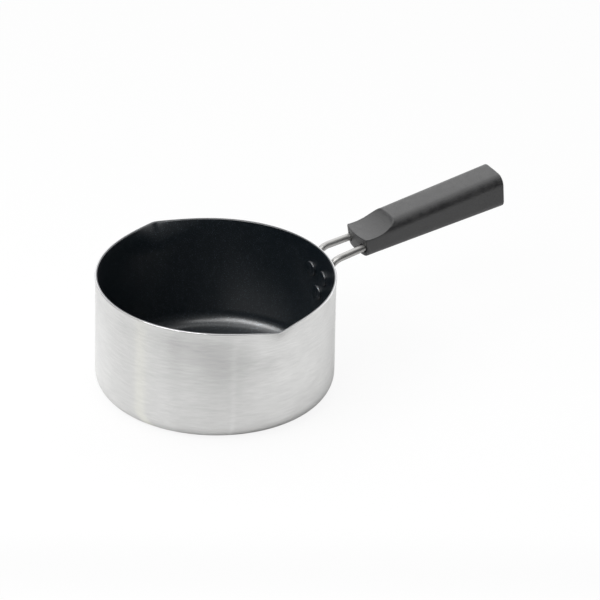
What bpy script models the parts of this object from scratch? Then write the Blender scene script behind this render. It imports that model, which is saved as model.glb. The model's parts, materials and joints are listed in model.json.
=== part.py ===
"""Two-lipped saucepan with a hairpin rod handle.

Metres, +Z up. The origin is the centre of the flat base, the handle runs out along +X,
and the two pouring lips point along +Y and -Y.
"""
import math

import bmesh
import bpy
from mathutils import Matrix, Vector

# Gap left between pieces that touch
CLEARANCE = 0.0003

# Pan, spun from aluminium sheet
INNER_RADIUS = 0.0900
WALL = 0.0019
FLOOR = 0.0025
HEIGHT = 0.0941
BASE_CORNER = 0.0144
RIM_ROUND = 0.0005
FLARE = 0.0005
FLARE_DEPTH = 0.012

# Pouring lips, pressed out of the rim
LIP_REACH = 0.0084
LIP_DROP = 0.0013
LIP_DEPTH = 0.026
LIP_SPREAD = math.radians(12.0)
LIP_TIP = math.radians(1.5)
LIP_DIRECTION = math.radians(90.0)

# Non-stick lining
LINING = 0.0003
BARE_RIM = 0.0005

# Grip, moulded in phenolic resin; its frame is the centre of its front face
GRIP_STANDOFF = 0.0327
GRIP_BELOW_RIM = 0.0003
GRIP_TILT = math.radians(8.6)
GRIP_LENGTH = 0.1222
GRIP_FRONT_WIDTH = 0.0307
GRIP_REAR_WIDTH = 0.0313
GRIP_FRONT_BELOW = 0.0089
GRIP_REAR_BELOW = 0.01235
GRIP_FRONT_ABOVE = 0.0124
GRIP_REAR_ABOVE = 0.0141
GRIP_SHOULDER = 0.0076
GRIP_KEEL = 0.0055
GRIP_CROWN = 0.0004
GRIP_REAR_LEAN = 0.089
GRIP_EDGE = 0.0008

# Thumb scoop in the grip's top
SCOOP_RADIUS = 0.032
SCOOP_CENTRE = 0.0075
SCOOP_FLOOR = 0.0061

# Handle rod, one stainless hairpin with its closed end pressed flat
ROD_DIAMETER = 0.0057
FLAT_THICKNESS = 0.0025
FLAT_WIDTH = 0.0098
FLAT_SQUARENESS = 0.6
FLAT_TO_BEND = 0.12
ROUND_FROM_BEND = 0.72
HAIRPIN_RADIUS = 0.0098
HAIRPIN_STRAIGHT = 0.0092
BEND_RADIUS = 0.0135
SPREAD_AT_BEND = 0.0226
LEG_COVER = 0.0017
LEG_BELOW_AXIS = 0.0016
LEG_IN_GRIP = 0.058
LEG_FIT = 0.0004

# Rivets
RIVET_BELOW_BEND = 0.0024
RIVET_HEAD_RADIUS = 0.0060
RIVET_HEAD_RISE = 0.0020
RIVET_SHANK_RADIUS = 0.0024
RIVET_TAIL_RADIUS = 0.0037
RIVET_TAIL_RISE = 0.0017
RIVET_TAIL_CHAMFER = 0.0008

# Screws that hold the rod's legs in the grip
SCREW_FROM_FRONT = 0.036
SCREW_SHANK_RADIUS = 0.0014
SCREW_POINT = 0.0007
SCREW_SHORT_OF_LEG = 0.0008
SCREW_HEAD_RADIUS = 0.0026
SCREW_HEAD_RISE = 0.0019
SCREW_HEAD_CHAMFER = 0.0007
SCREW_SINK = 0.0012
SCREW_SLOT_WIDTH = 0.0008
SCREW_SLOT_LENGTH = 0.0033
SCREW_SLOT_DEPTH = 0.0011

# Facets
PAN_STEPS = 80
SMALL_STEPS = 20
SCOOP_STEPS = 80
CORNER_STEPS = 6
RIM_STEPS = 2
WALL_ROWS = 5
ROW_CROWDING = 1.4
ROD_SIDES = 16
HAIRPIN_STEPS = 8
BEND_STEPS = 10
GRIP_STEPS = 6
EDGE_STEPS = 3

# Derived places
OUTER_RADIUS = INNER_RADIUS + WALL
LINING_OUTER = INNER_RADIUS - CLEARANCE
LINING_INNER = LINING_OUTER - LINING
FLAT_INNER = OUTER_RADIUS + CLEARANCE
FLAT_CENTRE = FLAT_INNER + FLAT_THICKNESS / 2
FLAT_OUTER = FLAT_INNER + FLAT_THICKNESS
LEG_ANGLE = HAIRPIN_RADIUS / FLAT_CENTRE
GRIP_FRONT = Vector((OUTER_RADIUS + GRIP_STANDOFF, 0, HEIGHT - GRIP_BELOW_RIM))
GRIP_FRAME = Matrix.Translation(GRIP_FRONT) @ Matrix.Rotation(-GRIP_TILT, 4, "Y")
LEG_ENTRY = GRIP_FRAME @ Vector((0, 0, -LEG_BELOW_AXIS))
BORE_RADIUS = ROD_DIAMETER / 2 + LEG_FIT
LEG_HALF_SPREAD = GRIP_FRONT_WIDTH / 2 - LEG_COVER - BORE_RADIUS
LEG_WALL_X = FLAT_CENTRE * math.cos(LEG_ANGLE)
BEND_SWEEP = math.pi / 2 - GRIP_TILT
CORNER_Z = LEG_ENTRY.z - (LEG_ENTRY.x - LEG_WALL_X) * math.tan(GRIP_TILT)
BEND_START = CORNER_Z - BEND_RADIUS * math.tan(BEND_SWEEP / 2)
BEND_END_X = LEG_WALL_X + BEND_RADIUS * (1 - math.cos(BEND_SWEEP))
UPPER_RIVET_Z = BEND_START - RIVET_BELOW_BEND
HAIRPIN_Z = BEND_START - HAIRPIN_STRAIGHT
LOWER_RIVET_Z = HAIRPIN_Z - HAIRPIN_RADIUS


def clear_scene():
    for obj in list(bpy.data.objects):
        bpy.data.objects.remove(obj, do_unlink=True)


def new_collection(name):
    collection = bpy.data.collections.new(name)
    bpy.context.scene.collection.children.link(collection)
    return collection


clear_scene()
PARTS = new_collection("saucepan")
CUTTERS = new_collection("cutters")


def material(name, color, roughness, metallic):
    mat = bpy.data.materials.new(name)
    mat.use_nodes = True
    shader = mat.node_tree.nodes["Principled BSDF"]
    shader.inputs["Base Color"].default_value = (*color, 1)
    shader.inputs["Roughness"].default_value = roughness
    shader.inputs["Metallic"].default_value = metallic
    return mat


ALUMINIUM = material("brushed_aluminium", (0.78, 0.78, 0.77), 0.32, 1.0)
COATING = material("black_nonstick", (0.010, 0.013, 0.016), 0.38, 0.0)
RIVET_BLACK = material("coated_rivet", (0.012, 0.015, 0.018), 0.35, 0.0)
STAINLESS = material("polished_stainless", (0.72, 0.71, 0.69), 0.14, 1.0)
PHENOLIC = material("black_phenolic", (0.035, 0.035, 0.036), 0.48, 0.0)
ZINC = material("zinc_plated_steel", (0.62, 0.62, 0.60), 0.30, 1.0)


def smoothstep(value):
    value = min(max(value, 0.0), 1.0)
    return value * value * (3 - 2 * value)


def add_object(name, mesh, mat=None, parent=None):
    obj = bpy.data.objects.new(name, mesh)
    if mat:
        PARTS.objects.link(obj)
        mesh.materials.clear()
        mesh.materials.append(mat)
    else:
        CUTTERS.objects.link(obj)
        obj.hide_render = True
        obj.display_type = "WIRE"
    obj.parent = parent
    return obj


def shade(obj):
    obj.data.shade_smooth()
    obj.data.set_sharp_from_angle(angle=math.radians(35))


def arc(centre_r, centre_z, radius, start, end, count):
    """Points on a circle in the profile plane, angles in degrees from +r towards +z."""
    points = []
    for i in range(count + 1):
        angle = math.radians(start + (end - start) * i / count)
        points.append((centre_r + radius * math.cos(angle), centre_z + radius * math.sin(angle)))
    return points


def turned(name, outline, steps, mat=None, parent=None):
    """A solid of revolution about local Z from (radius, height) points, top to bottom."""
    mesh = bpy.data.meshes.new(name)
    edges = [(i, i + 1) for i in range(len(outline) - 1)]
    mesh.from_pydata([(r, 0, z) for r, z in outline], edges, [])
    obj = add_object(name, mesh, mat, parent)
    screw = obj.modifiers.new("turn", "SCREW")
    screw.axis = "Z"
    screw.steps = steps
    screw.render_steps = steps
    screw.use_merge_vertices = True
    screw.merge_threshold = 0.00001
    return obj


def settle(obj):
    """Replace the object's mesh by its evaluated one and drop its modifiers."""
    bpy.context.view_layer.update()
    evaluated = obj.evaluated_get(bpy.context.evaluated_depsgraph_get())
    mesh = bpy.data.meshes.new_from_object(evaluated)
    obj.modifiers.clear()
    obj.data = mesh
    mesh.name = obj.name
    return obj


def cut(obj, cutters):
    for cutter in cutters:
        boolean = obj.modifiers.new(cutter.name, "BOOLEAN")
        boolean.operation = "DIFFERENCE"
        boolean.solver = "EXACT"
        boolean.object = cutter


def rod_cutter(name, radius, start, end, parent=None, steps=SMALL_STEPS):
    """A cylinder from one point to another, for drilling."""
    mesh = bpy.data.meshes.new(name)
    shape = bmesh.new()
    axis = end - start
    place = Matrix.Translation((start + end) / 2) @ axis.to_track_quat("Z", "Y").to_matrix().to_4x4()
    bmesh.ops.create_cone(
        shape, cap_ends=True, segments=steps, radius1=radius, radius2=radius, depth=axis.length, matrix=place
    )
    shape.to_mesh(mesh)
    shape.free()
    return add_object(name, mesh, parent=parent)


# Pan and lining


def lip_bump(angle):
    """One at the middle of a lip, falling to nothing round the rim."""
    from_lip = abs(abs(angle) - LIP_DIRECTION)
    return math.exp(-(math.hypot(from_lip, LIP_TIP) - LIP_TIP) / LIP_SPREAD)


def form_rim(obj):
    """Flare the rim and press the two lips outwards and a little down."""
    for vertex in obj.data.vertices:
        radius = math.hypot(vertex.co.x, vertex.co.y)
        if radius < INNER_RADIUS / 2:
            continue
        below_rim = HEIGHT - vertex.co.z
        bump = lip_bump(math.atan2(vertex.co.y, vertex.co.x))
        pressed = max(1 - below_rim / LIP_DEPTH, 0) ** 2
        flared = max(1 - below_rim / FLARE_DEPTH, 0) ** 2
        grown = radius + LIP_REACH * bump * pressed + FLARE * flared
        vertex.co.x *= grown / radius
        vertex.co.y *= grown / radius
        vertex.co.z -= LIP_DROP * bump * pressed
    return obj


def wall_rows(radius, low, high):
    """Points up the part of a wall that the lips bend, closer together near the rim."""
    start = max(HEIGHT - LIP_DEPTH, low)
    points = []
    for i in range(WALL_ROWS):
        share = 1 - (1 - i / WALL_ROWS) ** ROW_CROWDING
        points.append((radius, start + (high - start) * share))
    return points


def pan_body():
    inner_corner = BASE_CORNER - WALL
    inside = [(0, FLOOR)]
    inside += arc(INNER_RADIUS - inner_corner, FLOOR + inner_corner, inner_corner, -90, 0, CORNER_STEPS)
    inside += wall_rows(INNER_RADIUS, FLOOR + inner_corner, HEIGHT)
    rim = arc(INNER_RADIUS + RIM_ROUND, HEIGHT - RIM_ROUND, RIM_ROUND, 180, 90, RIM_STEPS)
    rim += arc(OUTER_RADIUS - RIM_ROUND, HEIGHT - RIM_ROUND, RIM_ROUND, 90, 0, RIM_STEPS)
    outside = wall_rows(OUTER_RADIUS, BASE_CORNER, HEIGHT)[::-1]
    outside += arc(OUTER_RADIUS - BASE_CORNER, BASE_CORNER, BASE_CORNER, 0, -90, CORNER_STEPS)
    outside += [(0, 0)]
    return form_rim(settle(turned("pan_body", inside + rim + outside, PAN_STEPS, ALUMINIUM)))


def nonstick_lining():
    outer_corner = BASE_CORNER - WALL - CLEARANCE
    inner_corner = outer_corner - LINING
    floor = FLOOR + CLEARANCE
    top = HEIGHT - BARE_RIM
    corner_z = floor + outer_corner
    inside = [(0, floor + LINING)]
    inside += arc(LINING_INNER - inner_corner, corner_z, inner_corner, -90, 0, CORNER_STEPS)
    inside += wall_rows(LINING_INNER, corner_z, top) + [(LINING_INNER, top)]
    outside = [(LINING_OUTER, top)] + wall_rows(LINING_OUTER, corner_z, top)[::-1]
    outside += arc(LINING_OUTER - outer_corner, corner_z, outer_corner, 0, -90, CORNER_STEPS)
    outside += [(0, floor)]
    return form_rim(settle(turned("nonstick_lining", inside + outside, PAN_STEPS, COATING)))


# Handle rod


def flat_station(along, height, tangent):
    """A place on the pressed-flat part: along is measured round the wall from the handle's line."""
    angle = along / FLAT_CENTRE
    outward = Vector((math.cos(angle), math.sin(angle), 0))
    around = Vector((-math.sin(angle), math.cos(angle), 0))
    centre = outward * FLAT_CENTRE + Vector((0, 0, height))
    direction = around * tangent[0] + Vector((0, 0, tangent[1]))
    return centre, direction, outward, 0.0


def bend_station(sweep):
    """A place on the bend from the wall to the leg; the rod turns from flat to round along it."""
    progress = sweep / BEND_SWEEP
    half_spread = FLAT_CENTRE * math.sin(LEG_ANGLE)
    half_spread += (SPREAD_AT_BEND / 2 - half_spread) * smoothstep(progress)
    x = LEG_WALL_X + BEND_RADIUS * (1 - math.cos(sweep))
    z = BEND_START + BEND_RADIUS * math.sin(sweep)
    angle = LEG_ANGLE * (1 - progress)
    outward = Vector((math.cos(angle) * math.cos(sweep), math.sin(angle) * math.cos(sweep), -math.sin(sweep)))
    roundness = smoothstep((progress - FLAT_TO_BEND) / (ROUND_FROM_BEND - FLAT_TO_BEND))
    return Vector((x, half_spread, z)), Vector((math.sin(sweep), 0, math.cos(sweep))), outward, roundness


def leg_station(x):
    """A place on the straight leg at a world x; it closes in to the grip's bore."""
    slope = math.tan(GRIP_TILT)
    z = LEG_ENTRY.z + (x - LEG_ENTRY.x) * slope
    opening = max((LEG_ENTRY.x - x) / (LEG_ENTRY.x - BEND_END_X), 0.0)
    half_spread = LEG_HALF_SPREAD + (SPREAD_AT_BEND / 2 - LEG_HALF_SPREAD) * opening
    direction = Vector((math.cos(GRIP_TILT), 0, math.sin(GRIP_TILT)))
    outward = Vector((math.sin(GRIP_TILT), 0, -math.cos(GRIP_TILT)))
    return Vector((x, half_spread, z)), direction, outward, 1.0


def rod_section(centre, direction, outward, roundness):
    """A ring of points round the rod, from a flat bar with round edges to a full circle."""
    direction = direction.normalized()
    side = direction.cross(outward).normalized()
    outward = side.cross(direction).normalized()
    half_width = (FLAT_WIDTH + (ROD_DIAMETER - FLAT_WIDTH) * roundness) / 2
    half_depth = (FLAT_THICKNESS + (ROD_DIAMETER - FLAT_THICKNESS) * roundness) / 2
    power = FLAT_SQUARENESS + (1 - FLAT_SQUARENESS) * roundness
    ring = []
    for i in range(ROD_SIDES):
        turn = 2 * math.pi * (i + 0.5) / ROD_SIDES
        across = math.copysign(abs(math.cos(turn)) ** power, math.cos(turn)) * half_width
        depth = math.copysign(abs(math.sin(turn)) ** power, math.sin(turn)) * half_depth
        ring.append(centre + side * across + outward * depth)
    return ring


def loft(name, rings, close_start, close_end, mat, parent=None):
    """Skin a list of rings with the same number of points."""
    shape = bmesh.new()
    loops = [[shape.verts.new(point) for point in ring] for ring in rings]
    count = len(rings[0])
    for low, high in zip(loops, loops[1:]):
        for i in range(count):
            shape.faces.new((low[i], low[(i + 1) % count], high[(i + 1) % count], high[i]))
    if close_start:
        shape.faces.new(loops[0][::-1])
    if close_end:
        shape.faces.new(loops[-1])
    bmesh.ops.recalc_face_normals(shape, faces=shape.faces)
    mesh = bpy.data.meshes.new(name)
    shape.to_mesh(mesh)
    shape.free()
    return add_object(name, mesh, mat, parent)


def handle_rod():
    stations = []
    for i in range(HAIRPIN_STEPS + 1):
        turn = math.pi / 2 * i / HAIRPIN_STEPS
        along = HAIRPIN_RADIUS * math.sin(turn)
        height = HAIRPIN_Z - HAIRPIN_RADIUS * math.cos(turn)
        stations.append(flat_station(along, height, (math.cos(turn), math.sin(turn))))
    stations.append(flat_station(HAIRPIN_RADIUS, (HAIRPIN_Z + BEND_START) / 2, (0, 1)))
    stations += [bend_station(BEND_SWEEP * i / BEND_STEPS) for i in range(BEND_STEPS + 1)]
    leg_end = (GRIP_FRAME @ Vector((LEG_IN_GRIP, 0, -LEG_BELOW_AXIS))).x
    stations += [leg_station(LEG_ENTRY.x), leg_station(leg_end)]
    half = loft("handle_rod", [rod_section(*station) for station in stations], False, True, STAINLESS)
    mirror = half.modifiers.new("both_legs", "MIRROR")
    mirror.use_axis = (False, True, False)
    mirror.merge_threshold = 0.0001
    return half


# Grip


def grip_section(along):
    """The grip's outline at a distance from its front, in its own frame."""
    share = along / GRIP_LENGTH
    half_width = (GRIP_FRONT_WIDTH + (GRIP_REAR_WIDTH - GRIP_FRONT_WIDTH) * share) / 2
    top = GRIP_FRONT_ABOVE + (GRIP_REAR_ABOVE - GRIP_FRONT_ABOVE) * share
    bottom = -GRIP_FRONT_BELOW - (GRIP_REAR_BELOW - GRIP_FRONT_BELOW) * share
    corners = (
        (half_width - GRIP_SHOULDER, top - GRIP_SHOULDER, GRIP_SHOULDER, 0),
        (-half_width + GRIP_SHOULDER, top - GRIP_SHOULDER, GRIP_SHOULDER, 90),
        (-half_width + GRIP_KEEL, bottom + GRIP_KEEL, GRIP_KEEL, 180),
        (half_width - GRIP_KEEL, bottom + GRIP_KEEL, GRIP_KEEL, 270),
    )
    ring = []
    for y, z, radius, start in corners:
        ring += arc(y, z, radius, start, start + 90, CORNER_STEPS)
    points = []
    for y, z in ring:
        crown = GRIP_CROWN * (1 - (y / half_width) ** 2) * smoothstep(z / top)
        points.append(Vector((along + GRIP_REAR_LEAN * share * z, y, z + crown)))
    return points


def grip(frame):
    rings = [grip_section(GRIP_LENGTH * i / GRIP_STEPS) for i in range(GRIP_STEPS + 1)]
    body = loft("grip", rings, True, True, PHENOLIC, frame)
    bevel = body.modifiers.new("end_edges", "BEVEL")
    bevel.width = GRIP_EDGE
    bevel.segments = EDGE_STEPS
    bevel.limit_method = "ANGLE"
    bevel.angle_limit = math.radians(50)
    return body


def scoop_cutter(frame):
    centre = Vector((SCOOP_CENTRE, 0, SCOOP_FLOOR + SCOOP_RADIUS))
    reach = Vector((0, GRIP_REAR_WIDTH, 0))
    return rod_cutter("thumb_scoop", SCOOP_RADIUS, centre - reach, centre + reach, frame, SCOOP_STEPS)


# Rivets and screws


def rivet_outline():
    """Heights are minus the distance from the pan's axis, so that the domed head is on top."""
    head_seat = -(math.sqrt(LINING_INNER ** 2 - RIVET_HEAD_RADIUS ** 2) - CLEARANCE)
    tail_seat = -(FLAT_OUTER + CLEARANCE)
    dome = (RIVET_HEAD_RADIUS ** 2 + RIVET_HEAD_RISE ** 2) / (2 * RIVET_HEAD_RISE)
    opening = math.degrees(math.asin(RIVET_HEAD_RADIUS / dome))
    top = head_seat + RIVET_HEAD_RISE
    outline = [(0, top)] + arc(0, top - dome, dome, 90, 90 - opening, CORNER_STEPS)[1:]
    outline += [(RIVET_SHANK_RADIUS, head_seat), (RIVET_SHANK_RADIUS, tail_seat)]
    tail_end = tail_seat - RIVET_TAIL_RISE
    outline += [(RIVET_TAIL_RADIUS, tail_seat), (RIVET_TAIL_RADIUS, tail_end + RIVET_TAIL_CHAMFER)]
    outline += [(RIVET_TAIL_RADIUS - RIVET_TAIL_CHAMFER, tail_end), (0, tail_end)]
    return outline


def radial_place(obj, angle, height):
    """Stand the object's local Z on the pan's radius, pointing at the axis."""
    obj.location = (0, 0, height)
    obj.rotation_euler = (0, -math.pi / 2, angle)


def rivet(name, angle, height):
    """One rivet, and the drill for its hole through lining, wall and rod."""
    piece = turned(name, rivet_outline(), SMALL_STEPS, RIVET_BLACK)
    radial_place(piece, angle, height)
    shade(settle(piece))
    drill = rod_cutter(
        name + "_hole",
        RIVET_SHANK_RADIUS + CLEARANCE,
        Vector((0, 0, -(LINING_INNER - RIVET_HEAD_RISE))),
        Vector((0, 0, -(FLAT_OUTER + RIVET_TAIL_RISE))),
    )
    radial_place(drill, angle, height)
    return drill


def screw_slot(name, frame):
    """One cutter for an arm of the cross slot, centred on its own origin."""
    mesh = bpy.data.meshes.new(name)
    shape = bmesh.new()
    bmesh.ops.create_cube(shape, size=1)
    size = (SCREW_SLOT_LENGTH, SCREW_SLOT_WIDTH, 2 * SCREW_SLOT_DEPTH)
    bmesh.ops.scale(shape, vec=size, verts=shape.verts)
    shape.to_mesh(mesh)
    shape.free()
    return add_object(name, mesh, parent=frame)


def grip_screw(name, side, frame):
    """One screw up through the grip's underside into a leg; gives the drills for grip and leg."""
    under = min(point.z for point in grip_section(SCREW_FROM_FRONT))
    head_face = under + SCREW_SINK
    neck = head_face + SCREW_HEAD_RISE
    seat = neck + CLEARANCE
    tip = ROD_DIAMETER / 2 - LEG_BELOW_AXIS - SCREW_SHORT_OF_LEG
    outline = [(0, tip), (SCREW_SHANK_RADIUS - SCREW_POINT, tip)]
    outline += [(SCREW_SHANK_RADIUS, tip - SCREW_POINT), (SCREW_SHANK_RADIUS, neck)]
    outline += [(SCREW_HEAD_RADIUS, neck), (SCREW_HEAD_RADIUS, head_face + SCREW_HEAD_CHAMFER)]
    outline += [(SCREW_HEAD_RADIUS - SCREW_HEAD_CHAMFER, head_face), (0, head_face)]
    piece = turned(name, outline, SMALL_STEPS, ZINC, frame)
    foot = Vector((SCREW_FROM_FRONT, side * LEG_HALF_SPREAD, 0))
    piece.location = foot
    settle(piece)
    slots = [screw_slot(name + "_slot_long", frame), screw_slot(name + "_slot_cross", frame)]
    for slot, turn in zip(slots, (0, math.pi / 2)):
        slot.location = foot + Vector((0, 0, head_face))
        slot.rotation_euler = (0, 0, turn)
    cut(piece, slots)
    shade(piece)

    def drill(label, radius, start_x, start_z, end_x, end_z):
        start = Vector((start_x, foot.y, start_z))
        end = Vector((end_x, foot.y, end_z))
        return rod_cutter(f"{name}_{label}", radius, start, end, frame)

    hole = SCREW_SHANK_RADIUS + CLEARANCE
    leg_low = -LEG_BELOW_AXIS - ROD_DIAMETER
    leg_high = -LEG_BELOW_AXIS + ROD_DIAMETER
    through = drill("hole", hole, foot.x, head_face, foot.x, -LEG_BELOW_AXIS)
    sink = drill("sink", SCREW_HEAD_RADIUS + 2 * CLEARANCE, foot.x, under - SCREW_HEAD_RISE, foot.x, seat)
    leg = drill("leg_hole", hole, foot.x, leg_low, foot.x, leg_high)
    bore_end = LEG_IN_GRIP + CLEARANCE
    bore = drill("bore", BORE_RADIUS, -ROD_DIAMETER, -LEG_BELOW_AXIS, bore_end, -LEG_BELOW_AXIS)
    return [bore, through, sink], leg


def build():
    frame = bpy.data.objects.new("grip_frame", None)
    PARTS.objects.link(frame)
    frame.matrix_world = GRIP_FRAME

    body = pan_body()
    lining = nonstick_lining()
    rod = handle_rod()
    handle = grip(frame)

    holes = [
        rivet("rivet_upper_left", LEG_ANGLE, UPPER_RIVET_Z),
        rivet("rivet_upper_right", -LEG_ANGLE, UPPER_RIVET_Z),
        rivet("rivet_lower", 0, LOWER_RIVET_Z),
    ]
    left_drills, left_leg = grip_screw("grip_screw_left", 1, frame)
    right_drills, right_leg = grip_screw("grip_screw_right", -1, frame)

    cut(body, holes)
    cut(lining, holes)
    cut(rod, holes + [left_leg, right_leg])
    cut(handle, [scoop_cutter(frame)] + left_drills + right_drills)
    for piece in (body, lining, rod, handle):
        shade(piece)


build()
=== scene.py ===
"""Looks of a two-lipped saucepan with a hairpin rod handle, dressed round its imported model.

Metres, +Z up. The origin is the centre of the flat base, the handle runs out along +X,
and the two pouring lips point along +Y and -Y.
"""

import json
import math

import bmesh
import bpy
from mathutils import Matrix, Quaternion, Vector

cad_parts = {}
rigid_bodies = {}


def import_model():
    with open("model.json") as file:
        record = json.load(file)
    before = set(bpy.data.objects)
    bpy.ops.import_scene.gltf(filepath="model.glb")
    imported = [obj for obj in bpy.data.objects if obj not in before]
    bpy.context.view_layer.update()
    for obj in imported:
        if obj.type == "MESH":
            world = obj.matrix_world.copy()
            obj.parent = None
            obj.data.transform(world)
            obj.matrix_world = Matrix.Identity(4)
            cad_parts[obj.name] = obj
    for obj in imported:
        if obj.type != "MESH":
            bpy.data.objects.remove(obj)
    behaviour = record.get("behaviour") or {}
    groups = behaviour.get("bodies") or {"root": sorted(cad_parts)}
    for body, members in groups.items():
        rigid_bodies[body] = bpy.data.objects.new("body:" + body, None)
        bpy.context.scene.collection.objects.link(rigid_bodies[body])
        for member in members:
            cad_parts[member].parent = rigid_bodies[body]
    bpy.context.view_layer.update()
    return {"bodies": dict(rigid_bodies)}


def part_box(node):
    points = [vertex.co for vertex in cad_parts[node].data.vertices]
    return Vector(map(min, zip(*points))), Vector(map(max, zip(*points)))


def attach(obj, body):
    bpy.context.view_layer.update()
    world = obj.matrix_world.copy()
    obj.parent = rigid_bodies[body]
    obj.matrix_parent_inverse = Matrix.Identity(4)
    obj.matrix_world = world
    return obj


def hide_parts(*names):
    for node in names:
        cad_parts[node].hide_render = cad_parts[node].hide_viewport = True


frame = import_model()
BODY = list(frame["bodies"])[0]
PAN_LOW, PAN_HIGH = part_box("pan_body")

# Vessel
WALL = 0.0019
FLOOR = 0.0025
BASE_CORNER = 0.0144
RIM_ROUND = 0.0007
FLARE = 0.0005
FLARE_DEPTH = 0.012
HEIGHT = PAN_HIGH.z
OUTER_RADIUS = -PAN_LOW.x - FLARE
INNER_RADIUS = OUTER_RADIUS - WALL

# Pouring lips
LIP_REACH = 0.0084
LIP_DROP = 0.0013
LIP_DEPTH = 0.026
LIP_SPREAD = math.radians(12.0)
LIP_TIP = math.radians(1.5)
LIP_DIRECTION = math.radians(90.0)

# Coating, which lies on the wall and ends on the rim's inner rounding
COAT_GAP = 0.00004
COAT = 0.00016
COAT_INNER = INNER_RADIUS - COAT_GAP - COAT
COAT_RIM_DEGREES = 88
COAT_ROUGHNESS = 0.26

# Grip; its frame is the centre of its front face
GRIP_STANDOFF = 0.0327
GRIP_BELOW_RIM = 0.0003
GRIP_TILT = math.radians(8.6)
GRIP_LENGTH = 0.1222
GRIP_FRONT_WIDTH = 0.0307
GRIP_REAR_WIDTH = 0.0313
GRIP_FRONT_BELOW = 0.0089
GRIP_REAR_BELOW = 0.01235
GRIP_FRONT_ABOVE = 0.0124
GRIP_REAR_ABOVE = 0.0141
GRIP_SHOULDER = 0.0076
GRIP_KEEL = 0.0055
GRIP_CROWN = 0.0004
GRIP_REAR_LEAN = 0.089
GRIP_EDGE = 0.0009
FRONT_BOW = 0.0024
FRONT_BOW_DEPTH = 0.008
FRONT_BOW_SQUARENESS = 0.7

# Thumb scoop
SCOOP_RADIUS = 0.032
SCOOP_CENTRE = 0.0075
SCOOP_FLOOR = 0.0061
SCOOP_SOFTNESS = 0.0008
SCOOP_LIP_RISE = 0.00025
SCOOP_LIP_WIDTH = 0.0009

# Handle rod
ROD_DIAMETER = 0.0057
FLAT_THICKNESS = 0.0025
FLAT_WIDTH = 0.0098
FLAT_SQUARENESS = 0.6
FLAT_TO_BEND = 0.12
ROUND_FROM_BEND = 0.72
FLAT_GAP = 0.0001
HAIRPIN_RADIUS = 0.0098
HAIRPIN_STRAIGHT = 0.0092
BEND_RADIUS = 0.0135
SPREAD_AT_BEND = 0.0226
LEG_COVER = 0.0017
LEG_BELOW_AXIS = 0.0016
LEG_IN_GRIP = 0.058
LEG_FIT = 0.0004
BORE_MOUTH = 0.0005

# Rivets
RIVET_HEAD_RADIUS = 0.0060
RIVET_HEAD_RISE = 0.0020
RIVET_HEAD_EDGE = 0.0003
RIVET_HEAD_CROWN = 0.0006
RIVET_HEAD_SHOULDER = 0.0013
RIVET_SHANK_RADIUS = 0.0024
RIVET_TAIL_RADIUS = 0.0037
RIVET_TAIL_RISE = 0.0017
RIVET_TAIL_CHAMFER = 0.0008
RIVET_FIT = 0.0001
RIVET_HEAD_ROUGHNESS = 0.28

# Screws under the grip
SCREW_FROM_FRONT = 0.036
SCREW_SHANK_RADIUS = 0.0014
SCREW_POINT = 0.0007
SCREW_SHORT_OF_LEG = 0.0008
SCREW_HEAD_RADIUS = 0.0026
SCREW_HEAD_RISE = 0.0019
SCREW_HEAD_CHAMFER = 0.0007
SCREW_SINK = 0.0012
SCREW_SLOT_WIDTH = 0.0008
SCREW_SLOT_LENGTH = 0.0033
SCREW_SLOT_DEPTH = 0.0011
SCREW_FIT = 0.0003

# Facets
PAN_STEPS = 360
CORNER_STEPS = 20
PLAIN_WALL_ROWS = 20
RIM_STEPS = 5
WALL_ROWS = 26
ROW_CROWDING = 1.4
ROD_SIDES = 48
HAIRPIN_STEPS = 36
BEND_STEPS = 44
LEG_STEPS = 6
SMALL_STEPS = 48
DOME_STEPS = 12
EDGE_STEPS = 6
GRIP_CORNER_STEPS = 14
GRIP_SIDE_STEPS = 10
GRIP_STEP = 0.0006
FRONT_FACE_STEPS = 10
SHARP_ANGLE = math.radians(35)
TURN_MERGE = 0.000001
MIRROR_MERGE = 0.00001

# Camera, from the fitted view of the rim, wall and base
CAMERA_AIM = Vector((0.05188, -0.03908, 0.07837))
CAMERA_AZIMUTH = math.radians(330.218)
CAMERA_ELEVATION = math.radians(28.738)
CAMERA_DISTANCE = 5.378
CAMERA_ROLL = math.radians(1.125)
CAMERA_LENS = 423.7

# Room: a bright wall and ceiling behind the pan, dark on the camera's side
ROOM_LEVEL = 0.075
CEILING_LEVEL = 1.45
CEILING_FADE = (-0.5, 0.15)
BACK_WALL_LEVEL = 1.75
BACK_WALL_AZIMUTH = math.radians(44.0)
BACK_WALL_FADE = (0.15, 0.85)
OVERHEAD_FADE = (0.37, 0.67)

# Lamps: azimuth and elevation in degrees, distance, width, height, radiance
KEY_SOFTBOX = (197, 45, 1.4, 1.2, 0.5, 6.1)
RIGHT_SOFTBOX = (246, 57, 1.4, 0.7, 0.4, 3.0)

# Table
FLOOR_HALF = 4.0
FLOOR_CELLS = 8
FLOOR_GAP = 0.0003
FLOOR_ROUGHNESS = 0.9
FLOOR_WHITE = 0.77
FLOOR_SHOWN_WHITE = 0.9
TABLE_EDGE = 0.20
TABLE_EDGE_BLUR = 0.15
WALL_FOOT_BLUR = 0.02

# Glow painted on the table that only metal sees, painted reflections in the wall; streak edges are radians,
# outer then inner
POOL_CENTRE = Vector((0.15, -0.13))
POOL_INNER = 0.06
POOL_OUTER = 0.25
POOL_LEVEL = 0.07
POOL_FADE = (0.09, 0.13)
LEFT_STREAK = math.radians(202.7)
LEFT_STREAK_EDGES = (0.050, 0.038)
LEFT_STREAK_LEVEL = 0.14
LEFT_STREAK_TINT = (1.0, 0.98, 0.60)
FRONT_STREAK = math.radians(250.0)
FRONT_STREAK_EDGES = (0.022, 0.012)
FRONT_STREAK_LEVEL = 0.08
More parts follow.
